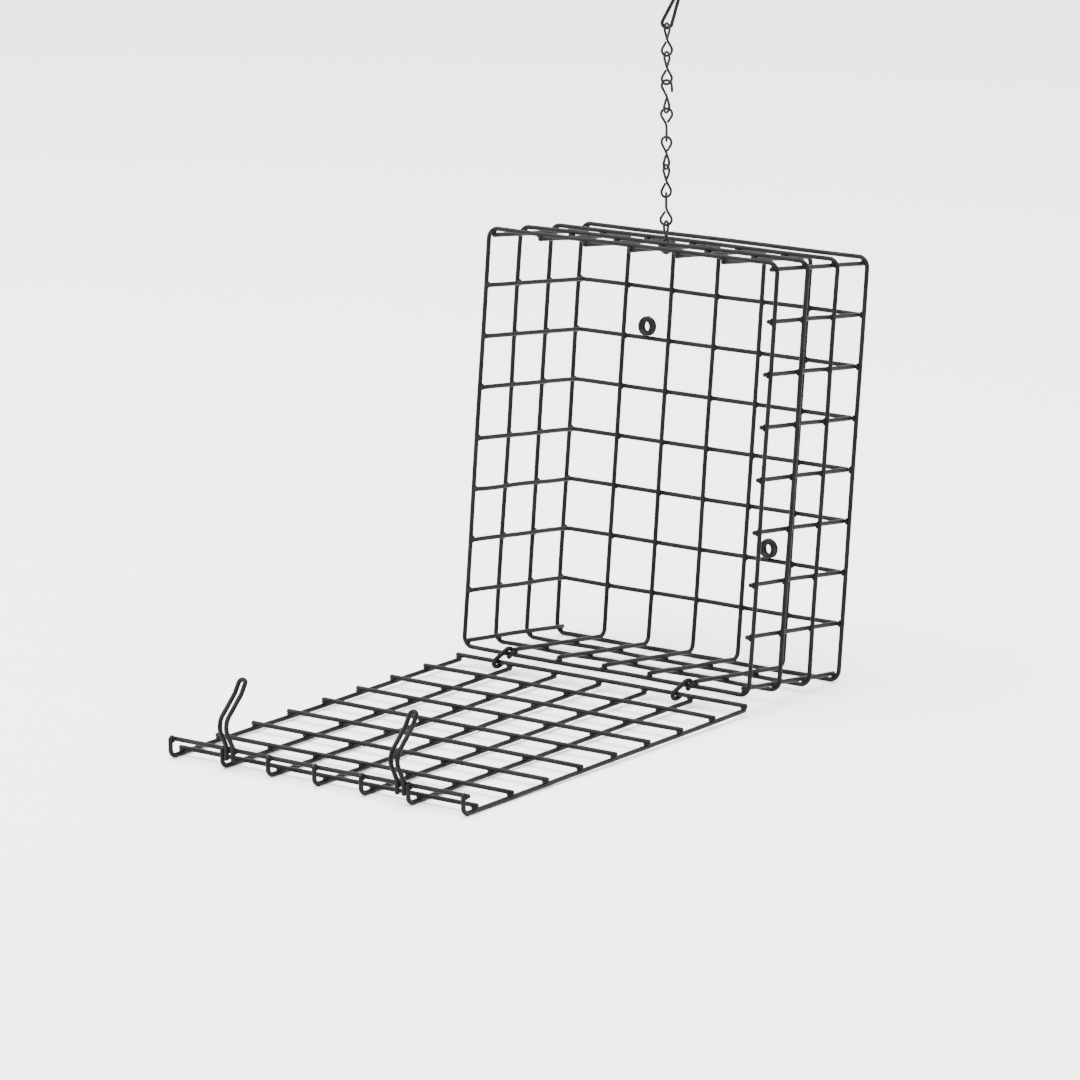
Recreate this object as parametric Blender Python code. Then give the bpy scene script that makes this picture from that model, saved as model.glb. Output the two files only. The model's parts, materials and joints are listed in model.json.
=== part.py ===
"""Hanging bird feeder: a welded wire cage with a drop-down wire door, spring catches, a jack chain and a hook.

Metres, +Z up. The feeder stands on z = 0 with its door laid open towards -Y. The door's hinge bar holds the
cage's front edge off the surface, so the cage leans back on its rear bottom bar, and the chain rises plumb.
The origin is the bottom centre of the whole object's box.
"""

import math

import bmesh
import bpy
from mathutils import Matrix, Vector

MM = 0.001

# Wire: eight-sided tubes, whose size is measured across their flats.
WIRE_D = 1.8 * MM
CHAIN_WIRE_D = 1.0 * MM
HOOK_WIRE_D = 1.4 * MM
CLIP_WIRE_D = 1.5 * MM
EYE_WIRE_D = 1.6 * MM
SIDES = 8
CHAIN_SIDES = 6
WELD_GAP = 0.15 * MM
LAYER = WIRE_D + WELD_GAP

# Cage, between wire centres. Its own frame starts at the front ring's bottom bar.
EDGE_CELL_X = 24.6 * MM
CELL_X = 21.4 * MM
COLUMNS = 6
CELL_Y = 20.6 * MM
RINGS = 4
FIRST_ROW_Z = 22.2 * MM
CELL_Z = 20.0 * MM
ROWS = 7
TOP_CELL_Z = 22.1 * MM
WIDTH = 2 * EDGE_CELL_X + (COLUMNS - 2) * CELL_X
DEPTH = (RINGS - 1) * CELL_Y
HEIGHT = FIRST_ROW_Z + (ROWS - 1) * CELL_Z + TOP_CELL_Z
RING_BEND = 4.0 * MM
UPRIGHT_BEND = 3.0 * MM
ROW_BEND = 1.6 * MM
ROW_TIP = 0.5 * MM

# Door. Its own frame starts at the hinge bar, and it reaches towards -Y.
DOOR_CELL = 21.1 * MM
DOOR_CELLS = 8
DOOR_LENGTH = DOOR_CELL * DOOR_CELLS
CURL_Y = -DOOR_LENGTH - 6.8 * MM
CURL_BEND = 2.6 * MM
LIP_Y = CURL_Y + LAYER
LIP_Z = 4.5 * MM
BAR_TIP = 0.6 * MM

# Hinge bar, from the front ring's bottom bar in the cage's own frame.
HINGE_FORWARD = 2.7 * MM
HINGE_DROP = 3.4 * MM

# Stance: the cage leans back on its rear ring's bottom bar, and the door slopes down from the hinge bar until
# its curls touch the floor.
LEAN = math.radians(6.0)
FRONT_Y = 51.80 * MM
FRONT_Z = WIRE_D / 2 + DEPTH * math.sin(LEAN)
HINGE_Y = FRONT_Y - HINGE_FORWARD * math.cos(LEAN) - HINGE_DROP * math.sin(LEAN)
HINGE_Z = FRONT_Z + HINGE_FORWARD * math.sin(LEAN) - HINGE_DROP * math.cos(LEAN)
DOOR_SLOPE = math.asin((HINGE_Z - WIRE_D / 2 - LAYER) / (-CURL_Y - CURL_BEND))

# Catches: hairpins inboard of the second long wire from each side. CATCH_SIDE runs up one leg, as a distance
# from the curls towards the hinge and a height from the door bars.
CATCH_SPACING = 3.0 * MM
CATCH_INSET = 3.5 * MM
CATCH_BEND = 4.0 * MM
CATCH_SIDE = (
    (0.0, 0.6 * MM),
    (0.0, 6.0 * MM),
    (-3.6 * MM, 12.8 * MM),
    (-3.3 * MM, 16.8 * MM),
    (5.4 * MM, 25.0 * MM),
    (7.6 * MM, 28.4 * MM),
)

# Hinge clips, wrapped askew round the front ring's bottom bar and the hinge bar, as (column, offset from it).
CLIP_R = 1.98 * MM
CLIP_SKEW = 0.5
CLIP_LEG = 1.2 * MM
CLIP_PLACES = {"left_hinge_clip": (1, -4.4 * MM), "right_hinge_clip": (5, -5.0 * MM)}

# Screw eyes on the back, as (column, row).
EYE_R = 3.0 * MM
EYE_PITCH = 1.9 * MM
EYE_TURNS = 2
EYE_FORWARD = 1.4 * MM
EYE_PLACES = {"upper_screw_eye": (1.5, 5), "lower_screw_eye": (4.5, 1)}

# Chain and hook. Links count up from the cage, and a heading is the turn of a link's lower loop, in degrees.
LINK_LENGTH = 12.35 * MM
LINK_PLAY = 0.45 * MM
LOOP_R = 2.15 * MM
LINK_HEADINGS = (13, 36, 66, 96, 126, 98, 62, 61)
GAPING_LINK = 5
CHAIN_Y = 23.4 * MM
HOOK_HEADING = 36
HOOK_EYE_R = 1.9 * MM
HOOK_NECK = (4.4 * MM, 11.4 * MM)
CROOK_R = 12.5 * MM
CROOK_Z = 33.0 * MM

STEEL = {"colour": (0.020, 0.020, 0.019), "roughness": 0.42, "metallic": 0.2}
CHAIN_STEEL = {"colour": (0.030, 0.029, 0.027), "roughness": 0.38, "metallic": 0.6}


# ---- helpers -------------------------------------------------------------------------------------------


def clear_scene():
    for obj in list(bpy.data.objects):
        bpy.data.objects.remove(obj, do_unlink=True)


def finish(name, colour, roughness, metallic):
    material = bpy.data.materials.new(name)
    material.use_nodes = True
    shader = material.node_tree.nodes["Principled BSDF"]
    shader.inputs["Base Color"].default_value = (*colour, 1.0)
    shader.inputs["Roughness"].default_value = roughness
    shader.inputs["Metallic"].default_value = metallic
    material.diffuse_color = (*colour, 1.0)
    return material


def empty(name, location, rotation=(0, 0, 0), parent=None):
    obj = bpy.data.objects.new(name, None)
    obj.location = location
    obj.rotation_euler = rotation
    obj.parent = parent
    bpy.context.scene.collection.objects.link(obj)
    return obj


def column_x(column):
    """A cage column's centre, from the left side. Half columns lie midway."""
    inner = max(0.0, min(column - 1, COLUMNS - 2))
    outer = min(column, 1) + max(0.0, column - (COLUMNS - 1))
    return outer * EDGE_CELL_X + inner * CELL_X - WIDTH / 2


def row_z(row):
    return FIRST_ROW_Z + row * CELL_Z


def arc(centre, radius, start, end, steps):
    """Points of an arc in a plane, by its angles in degrees."""
    turns = [math.radians(start + (end - start) * k / steps) for k in range(steps + 1)]
    return [(centre[0] + radius * math.cos(a), centre[1] + radius * math.sin(a)) for a in turns]


def rounded(corners, bend, steps=3):
    """The corners as a path whose inner corners are arcs of radius bend."""
    points = [Vector(c) for c in corners]
    path = [points[0]]
    for last, corner, coming in zip(points, points[1:], points[2:]):
        back = (last - corner).normalized()
        on = (coming - corner).normalized()
        half = back.angle(on) / 2
        centre = corner + (back + on).normalized() * bend / math.sin(half)
        start = corner + back * bend / math.tan(half) - centre
        axis = on.cross(back)
        for k in range(steps + 1):
            turn = Matrix.Rotation((math.pi - 2 * half) * k / steps, 3, axis)
            path.append(centre + turn @ start)
    return path + [points[-1]]


def cross_sections(path, diameter, sides, closed, roll):
    """The wire's outline at each point of its path, mitred so that straight runs keep their size."""
    radius = diameter / 2 / math.cos(math.pi / sides)
    runs = [(b - a).normalized() for a, b in zip(path, path[1:])]
    if closed:
        runs.append((path[0] - path[-1]).normalized())
    side = Vector((1, 0, 0)) if abs(runs[0].x) < 0.9 else Vector((0, 0, 1))
    side = (side - runs[0] * side.dot(runs[0])).normalized()
    side.rotate(Matrix.Rotation(roll, 3, runs[0]))
    outlines = []
    for i, point in enumerate(path):
        before = runs[i - 1] if i or closed else runs[0]
        after = runs[i] if i < len(runs) else runs[-1]
        other = before.cross(side)
        mitre = (before + after).normalized()
        outline = []
        for k in range(sides):
            angle = 2 * math.pi * (k + 0.5) / sides
            spoke = radius * (math.cos(angle) * side + math.sin(angle) * other)
            outline.append(point + spoke - before * spoke.dot(mitre) / before.dot(mitre))
        outlines.append(outline)
        side.rotate(before.rotation_difference(after))
    return outlines


def wire(name, path, diameter, look, parent, sides=SIDES, closed=False, roll=0.0):
    """A bent wire along the path, with flat ends. A closed path starts on a straight run."""
    outlines = cross_sections([Vector(p) for p in path], diameter, sides, closed, roll)
    shape = bmesh.new()
    loops = [[shape.verts.new(p) for p in outline] for outline in outlines]
    pairs = list(zip(loops, loops[1:] + loops[:1] if closed else loops[1:]))
    for a, b in pairs:
        for k in range(sides):
            shape.faces.new((a[k], a[(k + 1) % sides], b[(k + 1) % sides], b[k]))
    if not closed:
        shape.faces.new(reversed(loops[0]))
        shape.faces.new(loops[-1])
    bmesh.ops.recalc_face_normals(shape, faces=shape.faces)
    mesh = bpy.data.meshes.new(name)
    shape.to_mesh(mesh)
    shape.free()
    mesh.shade_smooth()
    mesh.set_sharp_from_angle(angle=math.radians(50))
    mesh.materials.append(look)
    obj = bpy.data.objects.new(name, mesh)
    obj.parent = parent
    bpy.context.scene.collection.objects.link(obj)
    return obj


# ---- cage ----------------------------------------------------------------------------------------------


def rings(cage, look):
    """Closed rectangular rings, front to back. The rear one's bottom flat lies level on the floor."""
    half = WIDTH / 2
    for ring in range(RINGS):
        y = ring * CELL_Y
        corners = [(0, y, 0), (half, y, 0), (half, y, HEIGHT), (-half, y, HEIGHT), (-half, y, 0), (0, y, 0)]
        path = rounded(corners, RING_BEND)[:-1]
        roll = LEAN if ring == RINGS - 1 else 0.0
        name = ("front", "second", "third", "rear")[ring] + "_ring"
        wire(name, path, WIRE_D, look, cage, closed=True, roll=roll)


def corner_wires(cage, look):
    """Straight wires that join the rings inside their four corners."""
    tuck = RING_BEND - (RING_BEND - LAYER) / math.sqrt(2)
    for side, x in (("left", tuck - WIDTH / 2), ("right", WIDTH / 2 - tuck)):
        for level, z in (("bottom", tuck), ("top", HEIGHT - tuck)):
            path = [(x, -WIRE_D / 2, z), (x, DEPTH + WIRE_D / 2, z)]
            wire(f"{level}_{side}_corner_wire", path, WIRE_D, look, cage)


def upright_wires(cage, look):
    """U-shaped wires that run along the top, down the back and along the bottom."""
    front, back = -WIRE_D / 2, DEPTH - LAYER
    low, high = LAYER, HEIGHT - LAYER
    for column in range(1, COLUMNS):
        x = column_x(column)
        path = rounded([(x, front, high), (x, back, high), (x, back, low), (x, front, low)], UPRIGHT_BEND)
        wire(f"upright_wire_{column}", path, WIRE_D, look, cage)


def row_wires(cage, look):
    """U-shaped wires that run along the left side, across the back and along the right side."""
    half = WIDTH / 2 - LAYER
    front, back = -WIRE_D / 2 - ROW_TIP, DEPTH
    for row in range(ROWS):
        z = row_z(row)
        path = rounded([(-half, front, z), (-half, back, z), (half, back, z), (half, front, z)], ROW_BEND)
        wire(f"row_wire_{row + 1}", path, WIRE_D, look, cage)


def screw_eyes(cage, look):
    """Coiled eyes that stand on two of the row wires, for fixing the back to a wall or a post."""
    rise = (WIRE_D + EYE_WIRE_D) / 2 + WELD_GAP + EYE_R / math.cos(math.pi / 14)
    length = EYE_PITCH * EYE_TURNS
    steps = 14 * EYE_TURNS
    for name, (column, row) in EYE_PLACES.items():
        path = []
        for k in range(steps + 1):
            turn = 2 * math.pi * EYE_TURNS * k / steps
            y = DEPTH - EYE_FORWARD - length / 2 + length * k / steps
            path.append((column_x(column) + EYE_R * math.sin(turn), y, row_z(row) + rise + EYE_R * math.cos(turn)))
        wire(name, path, EYE_WIRE_D, look, cage)


def hinge_clips(cage, look):
    """C-shaped clips, crimped round the front ring's bottom bar and open at the back."""
    span = math.hypot(HINGE_FORWARD, HINGE_DROP)
    down = Vector((0, -HINGE_FORWARD / span, -HINGE_DROP / span))
    back = Vector((0, -down.z, down.y))
    outline = [(CLIP_LEG, CLIP_R)]
    outline += arc((0, 0), CLIP_R, 90, 270, 8)
    outline += arc((span, 0), CLIP_R, -90, 90, 8)
    outline += [(span - CLIP_LEG, CLIP_R)]
    for name, (column, offset) in CLIP_PLACES.items():
        x = column_x(column) + offset
        path = [down * s + back * t + Vector((x - CLIP_SKEW * (s - span / 2), 0, 0)) for s, t in outline]
        wire(name, path, CLIP_WIRE_D, look, cage)


# ---- door ----------------------------------------------------------------------------------------------


def door_long_wires(door, look):
    """Wires that run out from the hinge bar and curl up at the far end to carry the lip bar."""
    z = -LAYER
    for column in range(COLUMNS + 1):
        x = column_x(column)
        corners = [(x, WIRE_D / 2, z), (x, CURL_Y, z), (x, CURL_Y, LIP_Z + WIRE_D / 2)]
        wire(f"door_long_wire_{column + 1}", rounded(corners, CURL_BEND, 4), WIRE_D, look, door)


def door_bar(name, y, z, door, look):
    reach = WIDTH / 2 + WIRE_D / 2 + BAR_TIP
    wire(name, [(-reach, y, z), (reach, y, z)], WIRE_D, look, door)


def door_bars(door, look):
    door_bar("door_hinge_bar", 0, 0, door, look)
    for cell in range(1, DOOR_CELLS):
        door_bar(f"door_cross_bar_{cell}", -cell * DOOR_CELL, 0, door, look)
    door_bar("door_end_bar", -DOOR_LENGTH, 0, door, look)
    door_bar("door_lip_bar", LIP_Y, LIP_Z, door, look)


def hairpin(spacing, side, bend, steps=6):
    """Up one leg, round the closed tip and down the other leg, in the order of a bent wire."""
    leg = rounded([(-spacing / 2, y, z) for y, z in side], bend)
    rise = (leg[-1] - leg[-2]).normalized()
    tip = [
        leg[-1] + Vector((spacing / 2 + x, 0, 0)) + rise * up
        for x, up in arc((0, 0), spacing / 2, 180, 0, steps)[1:-1]
    ]
    other = [Vector((-p.x, p.y, p.z)) for p in reversed(leg)]
    return leg + tip + other


def catches(door, look):
    """Spring catches that flex about the lip bar they are welded to."""
    side = [(y - LAYER, z - LIP_Z) for y, z in CATCH_SIDE]
    for name, column, inward in (("left_catch", 1, 1), ("right_catch", COLUMNS - 1, -1)):
        x = column_x(column) + inward * CATCH_INSET
        pivot = empty(f"{name}_pivot", (x, LIP_Y, LIP_Z), parent=door)
        wire(name, hairpin(CATCH_SPACING, side, CATCH_BEND), WIRE_D, look, pivot)


# ---- chain and hook ------------------------------------------------------------------------------------


def link_path(gaping):
    """A figure-eight of one bent wire, its loops a quarter turn apart. A gaping link's upper loop stands open."""
    height = LINK_LENGTH / 2 - LOOP_R
    upper = [(-0.95 * MM, 0.85 * MM)] + arc((0, height), LOOP_R, 202, -22, 8)
    if gaping:
        upper = [(-2.3 * MM, 1.7 * MM)] + arc((0, height), LOOP_R, 176, -22, 7)
    lower = arc((0, -height), LOOP_R, 22, -202, 8) + [(-0.95 * MM, -0.85 * MM)]
    waist = [(0, 0.34 * MM, 0.6 * MM), (0.34 * MM, 0, -0.6 * MM)]
    return [(0, u, z) for u, z in upper] + waist + [(u, 0, z) for u, z in lower]


def chain(anchor, look):
    """The links, plumb above the wire that the first one hangs the cage from. Returns where the hook's eye starts."""
    z = anchor.z - (WIRE_D + CHAIN_WIRE_D) / 2 - LINK_PLAY + LINK_LENGTH / 2
    for k, heading in enumerate(LINK_HEADINGS):
        pivot = empty(f"link_pivot_{k + 1}", (anchor.x, anchor.y, z), (0, 0, math.radians(heading)))
        path = link_path(k == GAPING_LINK)
        wire(f"chain_link_{k + 1}", path, CHAIN_WIRE_D, look, pivot, sides=CHAIN_SIDES)
        z += LINK_LENGTH - CHAIN_WIRE_D - LINK_PLAY
    top = z - LINK_LENGTH / 2 + CHAIN_WIRE_D + LINK_PLAY
    return Vector((anchor.x, anchor.y, top - (HOOK_WIRE_D + CHAIN_WIRE_D) / 2 - LINK_PLAY))


def hook(foot, look):
    """A narrow eye that leans over, a shank, and a wide crook above the chain."""
    pivot = empty("hook_pivot", foot, (0, 0, math.radians(HOOK_HEADING)))
    neck_u, neck_z = HOOK_NECK
    outline = [(neck_u - 1.75 * MM, neck_z - 0.3 * MM)]
    outline += arc((0, HOOK_EYE_R), HOOK_EYE_R, 160, 335, 7)
    outline += [(neck_u, neck_z)]
    outline += arc((0, CROOK_Z), CROOK_R, -48, 205, 16)
    outline += [(-CROOK_R * 1.16, CROOK_Z - CROOK_R * 0.62)]
    wire("hook", [(u, 0, z) for u, z in outline], HOOK_WIRE_D, look, pivot)


# ---- assembly ------------------------------------------------------------------------------------------


def build():
    clear_scene()
    steel = finish("black_powder_coat", **STEEL)
    chain_steel = finish("dark_chain_steel", **CHAIN_STEEL)

    cage = empty("cage_frame", (0, FRONT_Y, FRONT_Z), (-LEAN, 0, 0))
    rings(cage, steel)
    corner_wires(cage, steel)
    upright_wires(cage, steel)
    row_wires(cage, steel)
    screw_eyes(cage, steel)
    hinge_clips(cage, steel)

    door = empty("door_hinge", (0, HINGE_Y, HINGE_Z), (DOOR_SLOPE, 0, 0))
    door_long_wires(door, steel)
    door_bars(door, steel)
    catches(door, steel)

    hang = Vector((0, CHAIN_Y, HEIGHT - LAYER))
    hang.rotate(Matrix.Rotation(-LEAN, 3, "X"))
    foot = chain(Vector((0, FRONT_Y, FRONT_Z)) + hang, chain_steel)
    hook(foot, chain_steel)


build()
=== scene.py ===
"""Looks of the hanging bird feeder: round powder-coated wire with rounded tips, a weld at every crossing,
jack chain and a hook, in a white studio.

Each CAD wire is rebuilt round and smooth in its own place. Its place and length come from the CAD node's box in
the axes of its body, and from the joints. The wires' thickness and bends are given here. The clips, the screw
eyes and the chain are a little thicker than in the CAD. Metres, +Z up.
"""

import json
import math
import random

import bmesh
import bpy
from mathutils import Matrix, Vector
from mathutils.geometry import intersect_line_line


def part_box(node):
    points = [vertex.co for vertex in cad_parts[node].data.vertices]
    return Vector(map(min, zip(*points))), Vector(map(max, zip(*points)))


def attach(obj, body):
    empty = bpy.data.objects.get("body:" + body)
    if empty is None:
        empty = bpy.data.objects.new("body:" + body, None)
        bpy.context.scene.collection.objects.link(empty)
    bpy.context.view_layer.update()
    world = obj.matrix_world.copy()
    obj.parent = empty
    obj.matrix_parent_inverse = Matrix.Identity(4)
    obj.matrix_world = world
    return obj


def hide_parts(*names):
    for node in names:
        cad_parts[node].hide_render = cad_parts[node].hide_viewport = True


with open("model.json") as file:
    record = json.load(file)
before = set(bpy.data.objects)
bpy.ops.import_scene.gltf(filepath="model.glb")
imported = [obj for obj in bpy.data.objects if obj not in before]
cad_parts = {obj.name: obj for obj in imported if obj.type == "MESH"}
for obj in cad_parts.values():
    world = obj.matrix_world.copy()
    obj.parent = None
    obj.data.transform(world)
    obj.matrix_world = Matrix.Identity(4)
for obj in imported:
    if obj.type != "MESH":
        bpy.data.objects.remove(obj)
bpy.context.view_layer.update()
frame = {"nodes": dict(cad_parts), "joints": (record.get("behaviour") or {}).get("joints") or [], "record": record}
JOINTS = {joint["name"]: joint for joint in frame["joints"]}
draw = random.Random(5)

MM = 0.001

# Wire. TIP is the depth of a tip's dome as a share of the wire's radius. WAVE is how far a straight run
# wanders.
WIRE_R = 0.9 * MM
CHAIN_WIRE_R = 0.52 * MM
HOOK_WIRE_R = 0.7 * MM
CLIP_WIRE_R = 0.93 * MM
EYE_WIRE_R = 0.93 * MM
SIDES = 20
EYE_SIDES = 16
CHAIN_SIDES = 14
TIP = 0.65
DOME_DEGREES = (25, 48, 68, 84)
STATION = 6.0 * MM
WAVE = 0.10 * MM

# Bends. CATCH_SIDE runs up a catch's leg, as millimetres from the lip bar towards the hinge and above it.
RING_BEND = 4.0 * MM
UPRIGHT_BEND = 3.0 * MM
ROW_BEND = 1.6 * MM
CURL_BEND = 2.6 * MM
CATCH_BEND = 5.0 * MM
CATCH_SIDE = ((-1.95, -3.9), (-1.95, 1.5), (-5.55, 8.3), (-5.25, 12.3), (3.45, 20.5), (5.65, 23.9))
CLIP_R = 1.98 * MM
CLIP_LEG = 1.2 * MM
CLIP_SKEW = 0.5
EYE_R = 3.0 * MM
EYE_TURNS = 2

# Chain and hook. A link's wire ends and its waist are (across, up) from the link's centre.
LOOP_R = 2.15 * MM
LOOP_PAST = 22
LINK_END = (0.30 * MM, 0.75 * MM)
LINK_WAIST = (0.34 * MM, 0.6 * MM)
GAPE_END = (2.3 * MM, 1.7 * MM)
GAPE_START = 176
GAPING_LINK = 5
HOOK_HEADING = 36
HOOK_EYE_R = 1.9 * MM
HOOK_EYE_ARC = (160, 335)
HOOK_NECK = (4.4 * MM, 11.4 * MM)
HOOK_END = (1.75 * MM, 0.3 * MM)
CROOK_R = 12.5 * MM
CROOK_ARC = (-48, 205)
CROOK_TIP = (1.16, 0.62)

# Welds: flattened beads between crossing wires.
WELD_R = 1.42 * MM
WELD_HALF = 0.62 * MM
TOUCHING = 2.35 * MM
WELD_SPACING = 3.0 * MM
WELD_SIZES = (0.92, 1.1)
PAST_END = 0.02
LIP_HALF = 6 * MM

# Steel: the finest grain of each coat is its own, and these are common to all.
DRIFT_SCALE = 140.0
RUNS_SCALE = 420.0
SPECULAR = 0.08

# Studio
WORLD_STRENGTH = 2.9
FLOOR_HALF = 8
FLOOR_DROP = 0.05 * MM
SOFTBOXES = (
    ("overhead_softbox", (-0.3, -0.2, 1.8), (0, 0, 0), 1.6, 85),
    ("side_softbox", (-1.8, -1.4, 1.3), (0, 0, 0.1), 1.2, 42),
)

# Camera, at the photograph's viewing angle
CAMERA_AZIMUTH = 36.362
CAMERA_ELEVATION = 12.804
CAMERA_DISTANCE = 2.15
CAMERA_AIM = (0.0003, 0.0100, 0.0665)
CAMERA_LENS = 190.2
CAMERA_SENSOR = 36
CAMERA_REACH = 50

LEVEL = Matrix.Identity(3)
lean_axis = JOINTS["link_1_swing"]["axis"]
CAGE_AXES = Matrix.Rotation(-math.atan2(-lean_axis[2], lean_axis[1]), 3, "X")
hinge_bar, end_bar = (sum(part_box(f"door_{bar}_bar"), Vector()) / 2 for bar in ("hinge", "end"))
DOOR_AXES = Matrix.Rotation(math.atan2(hinge_bar.z - end_bar.z, hinge_bar.y - end_bar.y), 3, "X")


# ---- paths ---------------------------------------------------------------------------------------------


def arc(centre, radius, start, end, steps):
    """Points of an arc in a plane, by its angles in degrees."""
    turns = [math.radians(start + (end - start) * k / steps) for k in range(steps + 1)]
    return [(centre[0] + radius * math.cos(a), centre[1] + radius * math.sin(a)) for a in turns]


def rounded(corners, bend, steps=9):
    """The corners as a path whose inner corners are arcs of radius bend."""
    points = [Vector(c) for c in corners]
    path = [points[0]]
    for last, corner, coming in zip(points, points[1:], points[2:]):
        back = (last - corner).normalized()
        on = (coming - corner).normalized()
        half = back.angle(on) / 2
        centre = corner + (back + on).normalized() * bend / math.sin(half)
        start = corner + back * bend / math.tan(half) - centre
        for k in range(steps + 1):
            turn = Matrix.Rotation((math.pi - 2 * half) * k / steps, 3, on.cross(back))
            path.append(centre + turn @ start)
    return path + [points[-1]]


def softened(path, passes=2):
    """The path with its corners cut again and again, until it bends smoothly."""
    points = [Vector(p) for p in path]
    for _ in range(passes):
        cut = [points[0]]
        for a, b in zip(points, points[1:]):
            cut += [a.lerp(b, 0.25), a.lerp(b, 0.75)]
        points = cut + [points[-1]]
    return points


def drawn_out(path, closed):
    """The path with more points on its long runs, which wander a little, as straightened wire does."""
    points = []
    ends = path[1:] + path[:1] if closed else path[1:]
    for a, b in zip(path, ends):
        run = b - a
        count = max(1, round(run.length / STATION))
        across = run.normalized().orthogonal()
        other = run.normalized().cross(across)
        swing = [draw.uniform(-WAVE, WAVE) for _ in range(4)] if count > 2 else [0, 0, 0, 0]
        for k in range(count):
            t = k / count
            bow, ripple = math.sin(math.pi * t), math.sin(3 * math.pi * t)
            aside = across * (swing[0] * bow + swing[1] * ripple)
            offset = aside + other * (swing[2] * bow + swing[3] * ripple)
            points.append(a + run * t + offset)
    return points if closed else points + [path[-1]]


# ---- meshes --------------------------------------------------------------------------------------------


def smooth_object(name, shape, material):
    bmesh.ops.recalc_face_normals(shape, faces=shape.faces)
    mesh = bpy.data.meshes.new(name)
    shape.to_mesh(mesh)
    shape.free()
    mesh.shade_smooth()
    mesh.materials.append(material)
    obj = bpy.data.objects.new(name, mesh)
    bpy.context.scene.collection.objects.link(obj)
    return obj


def stations(path, radius, closed):
    """(centre, direction, radius) along the wire. An open wire's tips are low domes, within its length."""
    count = len(path)
    found = []
    for i, point in enumerate(path):
        before = path[i - 1] if i or closed else point
        after = path[(i + 1) % count] if i < count - 1 or closed else point
        found.append([point, (after - before).normalized(), radius])
    if closed:
        return found
    depth = TIP * radius
    found[0][0] = path[0] + found[0][1] * depth
    found[-1][0] = path[-1] - found[-1][1] * depth
    domes = [[], []]
    for degrees in DOME_DEGREES:
        out, size = math.sin(math.radians(degrees)), math.cos(math.radians(degrees))
        for dome, (centre, direction, _), sign in ((domes[0], found[0], -1), (domes[1], found[-1], 1)):
            dome.append([centre + direction * sign * depth * out, direction, radius * size])
    return domes[0][::-1] + found + domes[1]


def tube(name, path, radius, material, sides, closed):
    """A round wire along the path, turned without twist from station to station."""
    shape = bmesh.new()
    loops = []
    last = None
    for centre, direction, size in stations(path, radius, closed):
        if last is None:
            side = direction.orthogonal().normalized()
        else:
            side.rotate(last.rotation_difference(direction))
        last = direction
        other = direction.cross(side)
        loop = []
        for k in range(sides):
            angle = 2 * math.pi * k / sides
            loop.append(shape.verts.new(centre + size * (math.cos(angle) * side + math.sin(angle) * other)))
        loops.append(loop)
    for a, b in zip(loops, loops[1:]):
        for k in range(sides):
            shape.faces.new((a[k], a[(k + 1) % sides], b[(k + 1) % sides], b[k]))
    if closed:
        first, end = loops[0], loops[-1]
        shift = min(range(sides), key=lambda s: (end[0].co - first[s].co).length)
        for k in range(sides):
            a, b = (k + shift) % sides, (k + 1 + shift) % sides
            shape.faces.new((end[k], end[(k + 1) % sides], first[b], first[a]))
    else:
        shape.faces.new(loops[0])
        shape.faces.new(loops[-1])
    return smooth_object(name, shape, material)


# ---- materials -----------------------------------------------------------------------------------------


def add_node(tree, kind, **values):
    node = tree.nodes.new(kind)
    for name, value in values.items():
        node.inputs[name].default_value = value
    return node


def coated_steel(name, dark, light, roughness, grain):
    """Coated steel: a colour that drifts along the wire, an uneven gloss and the fine skin of the coat."""
    material = bpy.data.materials.new(name)
    material.use_nodes = True
    tree = material.node_tree
    shader = tree.nodes["Principled BSDF"]
    shader.inputs["Specular IOR Level"].default_value = SPECULAR
    place = add_node(tree, "ShaderNodeTexCoord")
    drift = add_node(tree, "ShaderNodeTexNoise", Scale=DRIFT_SCALE, Detail=3.0, Roughness=0.6)
    skin = add_node(tree, "ShaderNodeTexNoise", Scale=grain, Detail=4.0, Roughness=0.55)
    runs = add_node(tree, "ShaderNodeTexNoise", Scale=RUNS_SCALE, Detail=2.0, Roughness=0.5)
    for texture in (drift, skin, runs):
        tree.links.new(place.outputs["Object"], texture.inputs["Vector"])
    shades = add_node(tree, "ShaderNodeValToRGB")
    shades.color_ramp.elements[0].position = 0.35
    shades.color_ramp.elements[0].color = (*dark, 1)
    shades.color_ramp.elements[1].position = 0.68
    shades.color_ramp.elements[1].color = (*light, 1)
    tree.links.new(drift.outputs["Fac"], shades.inputs["Fac"])
    tree.links.new(shades.outputs["Color"], shader.inputs["Base Color"])
    gloss = add_node(tree, "ShaderNodeMapRange")
    gloss.inputs["From Min"].default_value = 0.3
    gloss.inputs["From Max"].default_value = 0.7
    gloss.inputs["To Min"].default_value = roughness - 0.06
    gloss.inputs["To Max"].default_value = roughness + 0.09
    tree.links.new(runs.outputs["Fac"], gloss.inputs["Value"])
    tree.links.new(gloss.outputs["Result"], shader.inputs["Roughness"])
    fine = add_node(tree, "ShaderNodeBump", Strength=0.35, Distance=0.03 * MM)
    tree.links.new(skin.outputs["Fac"], fine.inputs["Height"])
    coarse = add_node(tree, "ShaderNodeBump", Strength=0.4, Distance=0.08 * MM)
    tree.links.new(runs.outputs["Fac"], coarse.inputs["Height"])
    tree.links.new(fine.outputs["Normal"], coarse.inputs["Normal"])
    tree.links.new(coarse.outputs["Normal"], shader.inputs["Normal"])
    return material


def plain(name, colour, roughness):
    material = bpy.data.materials.new(name)
    material.use_nodes = True
    shader = material.node_tree.nodes["Principled BSDF"]
    shader.inputs["Base Color"].default_value = (*colour, 1)
    shader.inputs["Roughness"].default_value = roughness
    shader.inputs["Specular IOR Level"].default_value = 0.1
    return material


# ---- wires ---------------------------------------------------------------------------------------------

welded = {}


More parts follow.
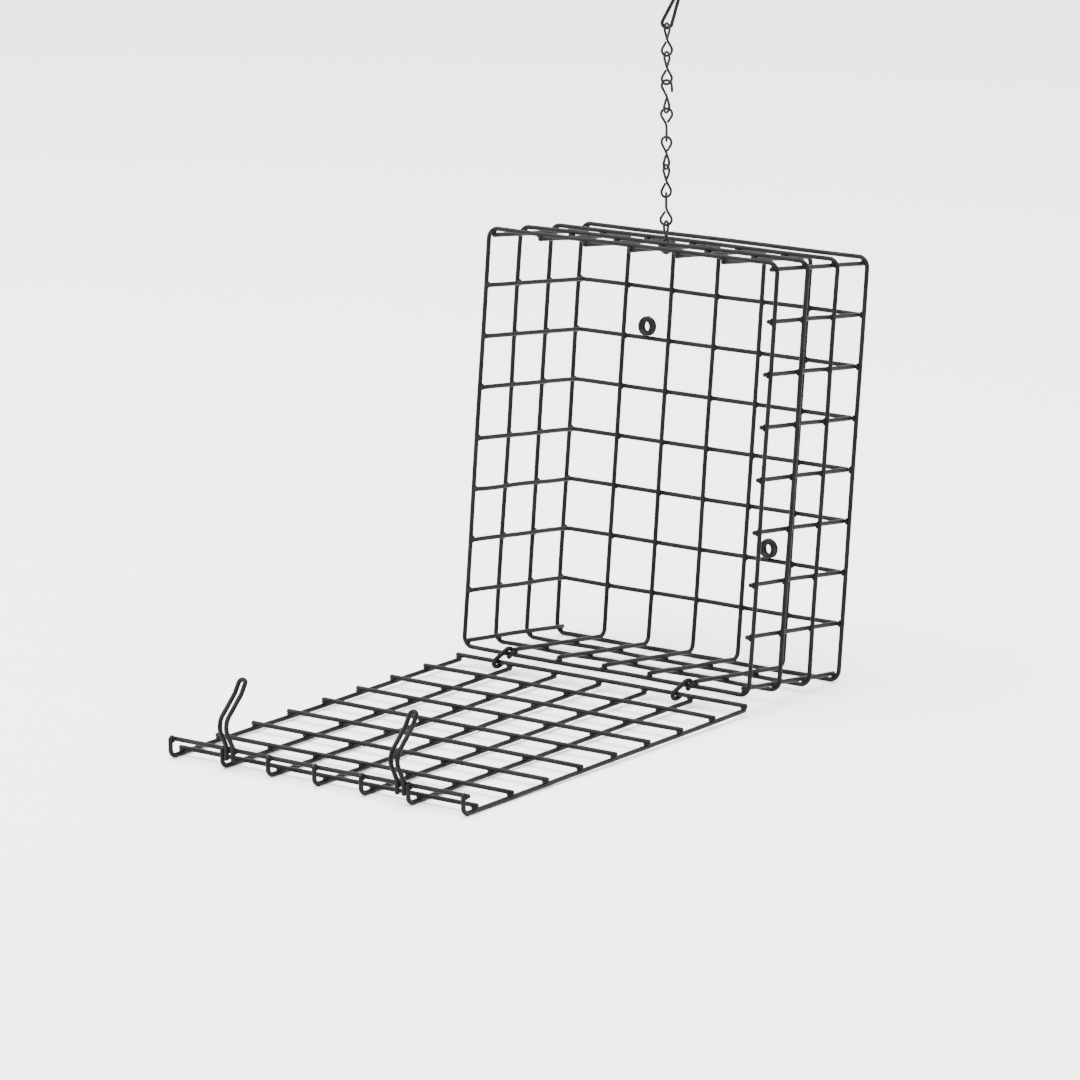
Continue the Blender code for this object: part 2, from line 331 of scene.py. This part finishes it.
def turned_box(node, axes=LEVEL):
    """(lowest corner, highest corner) of a CAD node in the given axes."""
    back = axes.transposed()
    points = [back @ vertex.co for vertex in frame["nodes"][node].data.vertices]
    return [Vector(pick(p[i] for p in points) for i in range(3)) for pick in (min, max)]


def show(node, path, radius, body, slot, axes=LEVEL, sides=SIDES, closed=False, straight=True):
    """The round wire that stands for a CAD node. Its path is in the given axes."""
    world = [axes @ Vector(p) for p in path]
    if straight:
        welded.setdefault(body, []).append((node, world + world[:1] if closed else world))
        world = drawn_out(world, closed)
    wire = tube(f"{node}_coated", world, radius, MATERIALS[slot], sides, closed)
    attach(wire, body)
    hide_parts(node)


def show_rings():
    for name in ("front_ring", "second_ring", "third_ring", "rear_ring"):
        low, high = turned_box(name, CAGE_AXES)
        y = (low.y + high.y) / 2
        half, bottom, top = high.x - WIRE_R, low.z + WIRE_R, high.z - WIRE_R
        start = (0, y, bottom)
        corners = [start, (half, y, bottom), (half, y, top), (-half, y, top), (-half, y, bottom), start]
        path = rounded(corners, RING_BEND)[:-1]
        show(name, path, WIRE_R, "cage", "black_wire", CAGE_AXES, closed=True)


def show_cage_wires():
    for node in frame["record"]["behaviour"]["bodies"]["cage"]:
        low, high = turned_box(node, CAGE_AXES)
        middle = (low + high) / 2
        front, back = low.y, high.y - WIRE_R
        if node.endswith("corner_wire"):
            path = [(middle.x, front, middle.z), (middle.x, high.y, middle.z)]
        elif node.startswith("upright_wire"):
            x, bottom, top = middle.x, low.z + WIRE_R, high.z - WIRE_R
            corners = [(x, front, top), (x, back, top), (x, back, bottom), (x, front, bottom)]
            path = rounded(corners, UPRIGHT_BEND)
        elif node.startswith("row_wire"):
            half, z = high.x - WIRE_R, middle.z
            corners = [(-half, front, z), (-half, back, z), (half, back, z), (half, front, z)]
            path = rounded(corners, ROW_BEND)
        else:
            continue
        show(node, path, WIRE_R, "cage", "black_wire", CAGE_AXES)


def show_screw_eyes():
    for node in ("upper_screw_eye", "lower_screw_eye"):
        low, high = turned_box(node, CAGE_AXES)
        middle = (low + high) / 2
        start, end = low.y + EYE_WIRE_R, high.y - EYE_WIRE_R
        steps = 28 * EYE_TURNS
        path = []
        for k in range(steps + 1):
            turn = 2 * math.pi * EYE_TURNS * k / steps
            y = start + (end - start) * k / steps
            path.append((middle.x + EYE_R * math.sin(turn), y, middle.z + EYE_R * math.cos(turn)))
        show(node, path, EYE_WIRE_R, "cage", "black_wire", CAGE_AXES, sides=EYE_SIDES)


def show_hinge_clips():
    """C-shaped clips round the front ring's bottom bar and the door's hinge bar, open at the back."""
    low, high = turned_box("front_ring", CAGE_AXES)
    top = Vector((0, (low.y + high.y) / 2, low.z + WIRE_R))
    bottom = CAGE_AXES.transposed() @ Vector(JOINTS["door_hinge"]["pos_m"])
    span = (bottom - top).length
    down = (bottom - top).normalized()
    back = Vector((0, -down.z, down.y))
    outline = [(CLIP_LEG, CLIP_R)]
    outline += arc((0, 0), CLIP_R, 90, 270, 16)
    outline += arc((span, 0), CLIP_R, -90, 90, 16)
    outline += [(span - CLIP_LEG, CLIP_R)]
    for node in ("left_hinge_clip", "right_hinge_clip"):
        low, high = turned_box(node, CAGE_AXES)
        x = (low.x + high.x) / 2
        path = []
        for s, t in outline:
            path.append(top + down * s + back * t + Vector((x - CLIP_SKEW * (s - span / 2), 0, 0)))
        show(node, path, CLIP_WIRE_R, "cage", "black_wire", CAGE_AXES, straight=False)


def show_door():
    for node in frame["record"]["behaviour"]["bodies"]["door"]:
        low, high = turned_box(node, DOOR_AXES)
        middle = (low + high) / 2
        if "long_wire" in node:
            x, z, end = middle.x, low.z + WIRE_R, low.y + WIRE_R
            path = rounded([(x, high.y, z), (x, end, z), (x, end, high.z)], CURL_BEND)
        else:
            path = [(low.x, middle.y, middle.z), (high.x, middle.y, middle.z)]
        show(node, path, WIRE_R, "door", "black_wire", DOOR_AXES)


def show_catches():
    for node in ("left_catch", "right_catch"):
        low, high = turned_box(node)
        pivot = Vector(JOINTS[f"{node}_flex"]["pos_m"])
        half = (high.x - low.x) / 2 - WIRE_R
        leg = rounded([(-half, y * MM, z * MM) for y, z in CATCH_SIDE], CATCH_BEND)
        rise = (leg[-1] - leg[-2]).normalized()
        bow = arc((0, 0), half, 180, 0, 14)[1:-1]
        tip = [leg[-1] + Vector((half + x, 0, 0)) + rise * up for x, up in bow]
        path = softened(leg + tip + [Vector((-p.x, p.y, p.z)) for p in reversed(leg)], 1)
        show(node, [pivot + DOOR_AXES @ p for p in path], WIRE_R, node, "black_wire", straight=False)
        lip = [pivot + Vector((x, 0, 0)) for x in (-LIP_HALF, LIP_HALF)]
        for x in (-half, half):
            base = [pivot + DOOR_AXES @ Vector((x, y * MM, z * MM)) for y, z in CATCH_SIDE[:2]]
            welded.setdefault(node, []).append((f"leg_{x}", base))
        welded[node].append(("lip", lip))


# ---- chain and hook ------------------------------------------------------------------------------------


def link_path(half, gaping):
    """A figure-eight of one bent wire, its loops a quarter turn apart, from its own centre."""
    height = half - LOOP_R
    end_u, end_z = LINK_END
    waist_u, waist_z = LINK_WAIST
    upper = [(-end_u, end_z)] + arc((0, height), LOOP_R, 180 + LOOP_PAST, -LOOP_PAST, 14)
    if gaping:
        upper = [(-GAPE_END[0], GAPE_END[1])] + arc((0, height), LOOP_R, GAPE_START, -LOOP_PAST, 12)
    lower = arc((0, -height), LOOP_R, LOOP_PAST, -180 - LOOP_PAST, 14) + [(-end_u, -end_z)]
    waist = [(0, waist_u, waist_z), (waist_u, 0, -waist_z)]
    return softened([(0, u, z) for u, z in upper] + waist + [(u, 0, z) for u, z in lower])


def show_chain():
    """Each link's upper loop is the bar that the next piece swings on, so that joint gives its heading."""
    order = [f"link_{k + 1}_swing" for k in range(1, 8)] + ["hook_swing"]
    for k, next_joint in enumerate(order):
        node = f"chain_link_{k + 1}"
        low, high = turned_box(node)
        x, y, _ = JOINTS[next_joint]["pos_m"]
        axis = JOINTS[next_joint]["axis"]
        sign = -1 if k % 2 == 0 and next_joint != "hook_swing" else 1
        turn = Matrix.Rotation(math.atan2(sign * axis[1], sign * axis[0]) - math.pi / 2, 3, "Z")
        centre = Vector((x, y, (low.z + high.z) / 2))
        half = (high.z - low.z) / 2 - CHAIN_WIRE_R
        path = [centre + turn @ p for p in link_path(half, k == GAPING_LINK)]
        show(node, path, CHAIN_WIRE_R, node, "chain_steel", sides=CHAIN_SIDES, straight=False)


def show_hook():
    low, high = turned_box("hook")
    x, y, _ = JOINTS["hook_swing"]["pos_m"]
    foot = Vector((x, y, low.z + HOOK_WIRE_R))
    crook_z = high.z - HOOK_WIRE_R - CROOK_R - foot.z
    neck_u, neck_z = HOOK_NECK
    outline = [(neck_u - HOOK_END[0], neck_z - HOOK_END[1])]
    outline += arc((0, HOOK_EYE_R), HOOK_EYE_R, *HOOK_EYE_ARC, 14)
    outline += [(neck_u, neck_z)]
    outline += arc((0, crook_z), CROOK_R, *CROOK_ARC, 32)
    outline += [(-CROOK_R * CROOK_TIP[0], crook_z - CROOK_R * CROOK_TIP[1])]
    turn = Matrix.Rotation(math.radians(HOOK_HEADING), 3, "Z")
    path = [foot + turn @ p for p in softened([(u, 0, z) for u, z in outline])]
    show("hook", path, HOOK_WIRE_R, "hook", "hook_steel", straight=False)


# ---- welds ---------------------------------------------------------------------------------------------


def nearest(a, b, c, d):
    """The points of two runs where they come closest, if that lies within both."""
    found = intersect_line_line(a, b, c, d)
    if found is None:
        return None
    for point, start, end in ((found[0], a, b), (found[1], c, d)):
        run = end - start
        share = (point - start).dot(run) / run.length_squared
        if not -PAST_END < share < 1 + PAST_END:
            return None
    return found


def weld_places(wires):
    """(middle, direction across) wherever two wires of one body touch."""
    places = []
    for i, (_, first) in enumerate(wires):
        for _, second in wires[i + 1 :]:
            here = []
            for a, b in zip(first, first[1:]):
                for c, d in zip(second, second[1:]):
                    found = nearest(a, b, c, d)
                    if found is None or (found[1] - found[0]).length > TOUCHING:
                        continue
                    middle = (found[0] + found[1]) / 2
                    if all((middle - other).length > WELD_SPACING for other, _ in here):
                        here.append((middle, (found[1] - found[0]).normalized()))
            places += here
    return places


def show_welds():
    for body, wires in welded.items():
        shape = bmesh.new()
        for middle, across in weld_places(wires):
            size = draw.uniform(*WELD_SIZES)
            turn = across.to_track_quat("Z", "Y").to_matrix().to_4x4()
            scale = Matrix.Diagonal((WELD_R * size, WELD_R * size, WELD_HALF, 1))
            spin = Matrix.Rotation(draw.uniform(0, 1), 4, "Z")
            place = Matrix.Translation(middle) @ turn @ scale @ spin
            bmesh.ops.create_uvsphere(shape, u_segments=16, v_segments=8, radius=1, matrix=place)
        beads = smooth_object(f"{body}_welds", shape, MATERIALS["black_wire"])
        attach(beads, body)


# ---- studio --------------------------------------------------------------------------------------------


def area_light(name, place, aim, size, power):
    light = bpy.data.lights.new(name, "AREA")
    light.shape = "SQUARE"
    light.size = size
    light.energy = power
    obj = bpy.data.objects.new(name, light)
    obj.location = place
    obj.rotation_euler = (Vector(aim) - Vector(place)).to_track_quat("-Z", "Y").to_euler()
    bpy.context.scene.collection.objects.link(obj)


def studio():
    shape = bmesh.new()
    bmesh.ops.create_grid(shape, x_segments=1, y_segments=1, size=FLOOR_HALF)
    floor = smooth_object("floor", shape, plain("white_paper", (0.93, 0.93, 0.93), 0.9))
    floor.location.z = -FLOOR_DROP
    for softbox in SOFTBOXES:
        area_light(*softbox)
    world = bpy.data.worlds.new("white_studio")
    world.use_nodes = True
    world.node_tree.nodes["Background"].inputs["Color"].default_value = (1, 1, 1, 1)
    world.node_tree.nodes["Background"].inputs["Strength"].default_value = WORLD_STRENGTH
    bpy.context.scene.world = world


def camera():
    azimuth, elevation = math.radians(CAMERA_AZIMUTH), math.radians(CAMERA_ELEVATION)
    level = math.cos(elevation)
    back = Vector((math.sin(azimuth) * level, -math.cos(azimuth) * level, math.sin(elevation)))
    data = bpy.data.cameras.new("photo_camera")
    data.lens = CAMERA_LENS
    data.sensor_width = CAMERA_SENSOR
    data.clip_end = CAMERA_REACH
    obj = bpy.data.objects.new("photo_camera", data)
    obj.location = Vector(CAMERA_AIM) + back * CAMERA_DISTANCE
    obj.rotation_euler = (-back).to_track_quat("-Z", "Y").to_euler()
    bpy.context.scene.collection.objects.link(obj)
    bpy.context.scene.camera = obj


MATERIALS = {
    "black_wire": coated_steel("black_powder_coat", (0.003, 0.003, 0.0028), (0.008, 0.008, 0.0075), 0.42, 2600.0),
    "chain_steel": coated_steel("chain_coat", (0.005, 0.005, 0.0047), (0.014, 0.0137, 0.013), 0.38, 3400.0),
    "hook_steel": coated_steel("hook_coat", (0.003, 0.003, 0.0028), (0.009, 0.009, 0.0085), 0.38, 3000.0),
}

show_rings()
show_cage_wires()
show_screw_eyes()
show_hinge_clips()
show_door()
show_catches()
show_chain()
show_hook()
show_welds()
studio()
camera()
